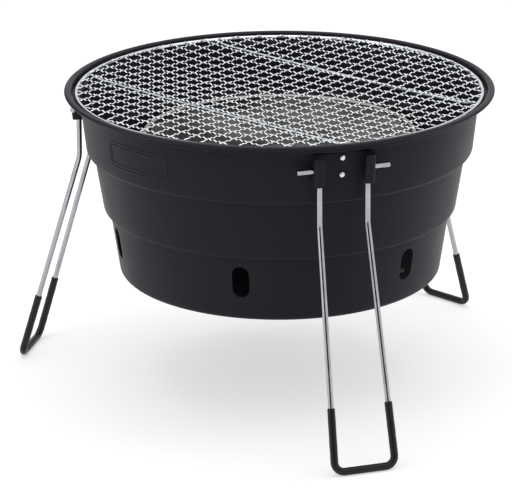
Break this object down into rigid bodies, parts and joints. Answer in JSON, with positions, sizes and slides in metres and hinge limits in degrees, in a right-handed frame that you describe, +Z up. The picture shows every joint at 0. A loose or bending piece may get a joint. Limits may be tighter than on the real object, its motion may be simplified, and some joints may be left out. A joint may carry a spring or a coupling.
{
  "type": "portable tabletop charcoal grill",
  "caption": "Round tabletop charcoal grill: stepped black steel bowl on splayed wire legs hooked in riveted brackets, with a lift-off wire mesh grate over a charcoal tray.",
  "frame": {"origin": "on the table surface, at the middle of the object's bounding box", "axes": "+Z up along the bowl's axis, -Y towards the front leg, +X to the right"},
  "size_m": [0.4464, 0.4336, 0.271],
  "materials": {
    "black_enamel": "satin black heat-resistant enamel on pressed steel",
    "rivet_steel": "bright steel rivet",
    "plated_leg_wire": "bright plated steel wire",
    "foot_vinyl": "dipped black vinyl",
    "plated_grate_wire": "bright plated crimped wire",
    "tray_steel": "bare steel sheet"
  },
  "bodies": {
    "bowl": {"fire_bowl": "black_enamel", "leg_bracket_front": "black_enamel", "leg_bracket_right": "black_enamel", "leg_bracket_left": "black_enamel", "rivet_front_upper": "rivet_steel", "rivet_front_lower": "rivet_steel", "rivet_right_upper": "rivet_steel", "rivet_right_lower": "rivet_steel", "rivet_left_upper": "rivet_steel", "rivet_left_lower": "rivet_steel"},
    "leg_front": {"leg_wire_front": "plated_leg_wire", "foot_sleeve_front": "foot_vinyl"},
    "leg_right": {"leg_wire_right": "plated_leg_wire", "foot_sleeve_right": "foot_vinyl"},
    "leg_left": {"leg_wire_left": "plated_leg_wire", "foot_sleeve_left": "foot_vinyl"},
    "grate": {"grate_hoop": "plated_grate_wire", "grate_bar_1": "plated_grate_wire", "grate_bar_2": "plated_grate_wire", "cooking_mesh": "plated_grate_wire"},
    "tray": {"charcoal_tray": "tray_steel", "tray_foot_1": "tray_steel", "tray_foot_2": "tray_steel", "tray_foot_3": "tray_steel"}
  },
  "joints": [
    {"name": "grate_lift", "type": "slide", "parent": "bowl", "child": "grate", "axis": [0, 0, 1], "range_m": [0, 0.12]},
    {"name": "tray_lift", "type": "slide", "parent": "bowl", "child": "tray", "axis": [0, 0, 1], "range_m": [0, 0.03]},
    {"name": "leg_front_hinge", "type": "hinge", "parent": "bowl", "child": "leg_front", "pos_m": [0, -0.15261, 0.2473], "axis": [1, 0, 0], "range_deg": [0, 7]},
    {"name": "leg_right_hinge", "type": "hinge", "parent": "bowl", "child": "leg_right", "pos_m": [0.1554, 0.11654, 0.2473], "axis": [-0.5, 0.866, 0], "range_deg": [0, 7]},
    {"name": "leg_left_hinge", "type": "hinge", "parent": "bowl", "child": "leg_left", "pos_m": [-0.1554, 0.11654, 0.2473], "axis": [-0.5, -0.866, 0], "range_deg": [0, 7]}
  ]
}
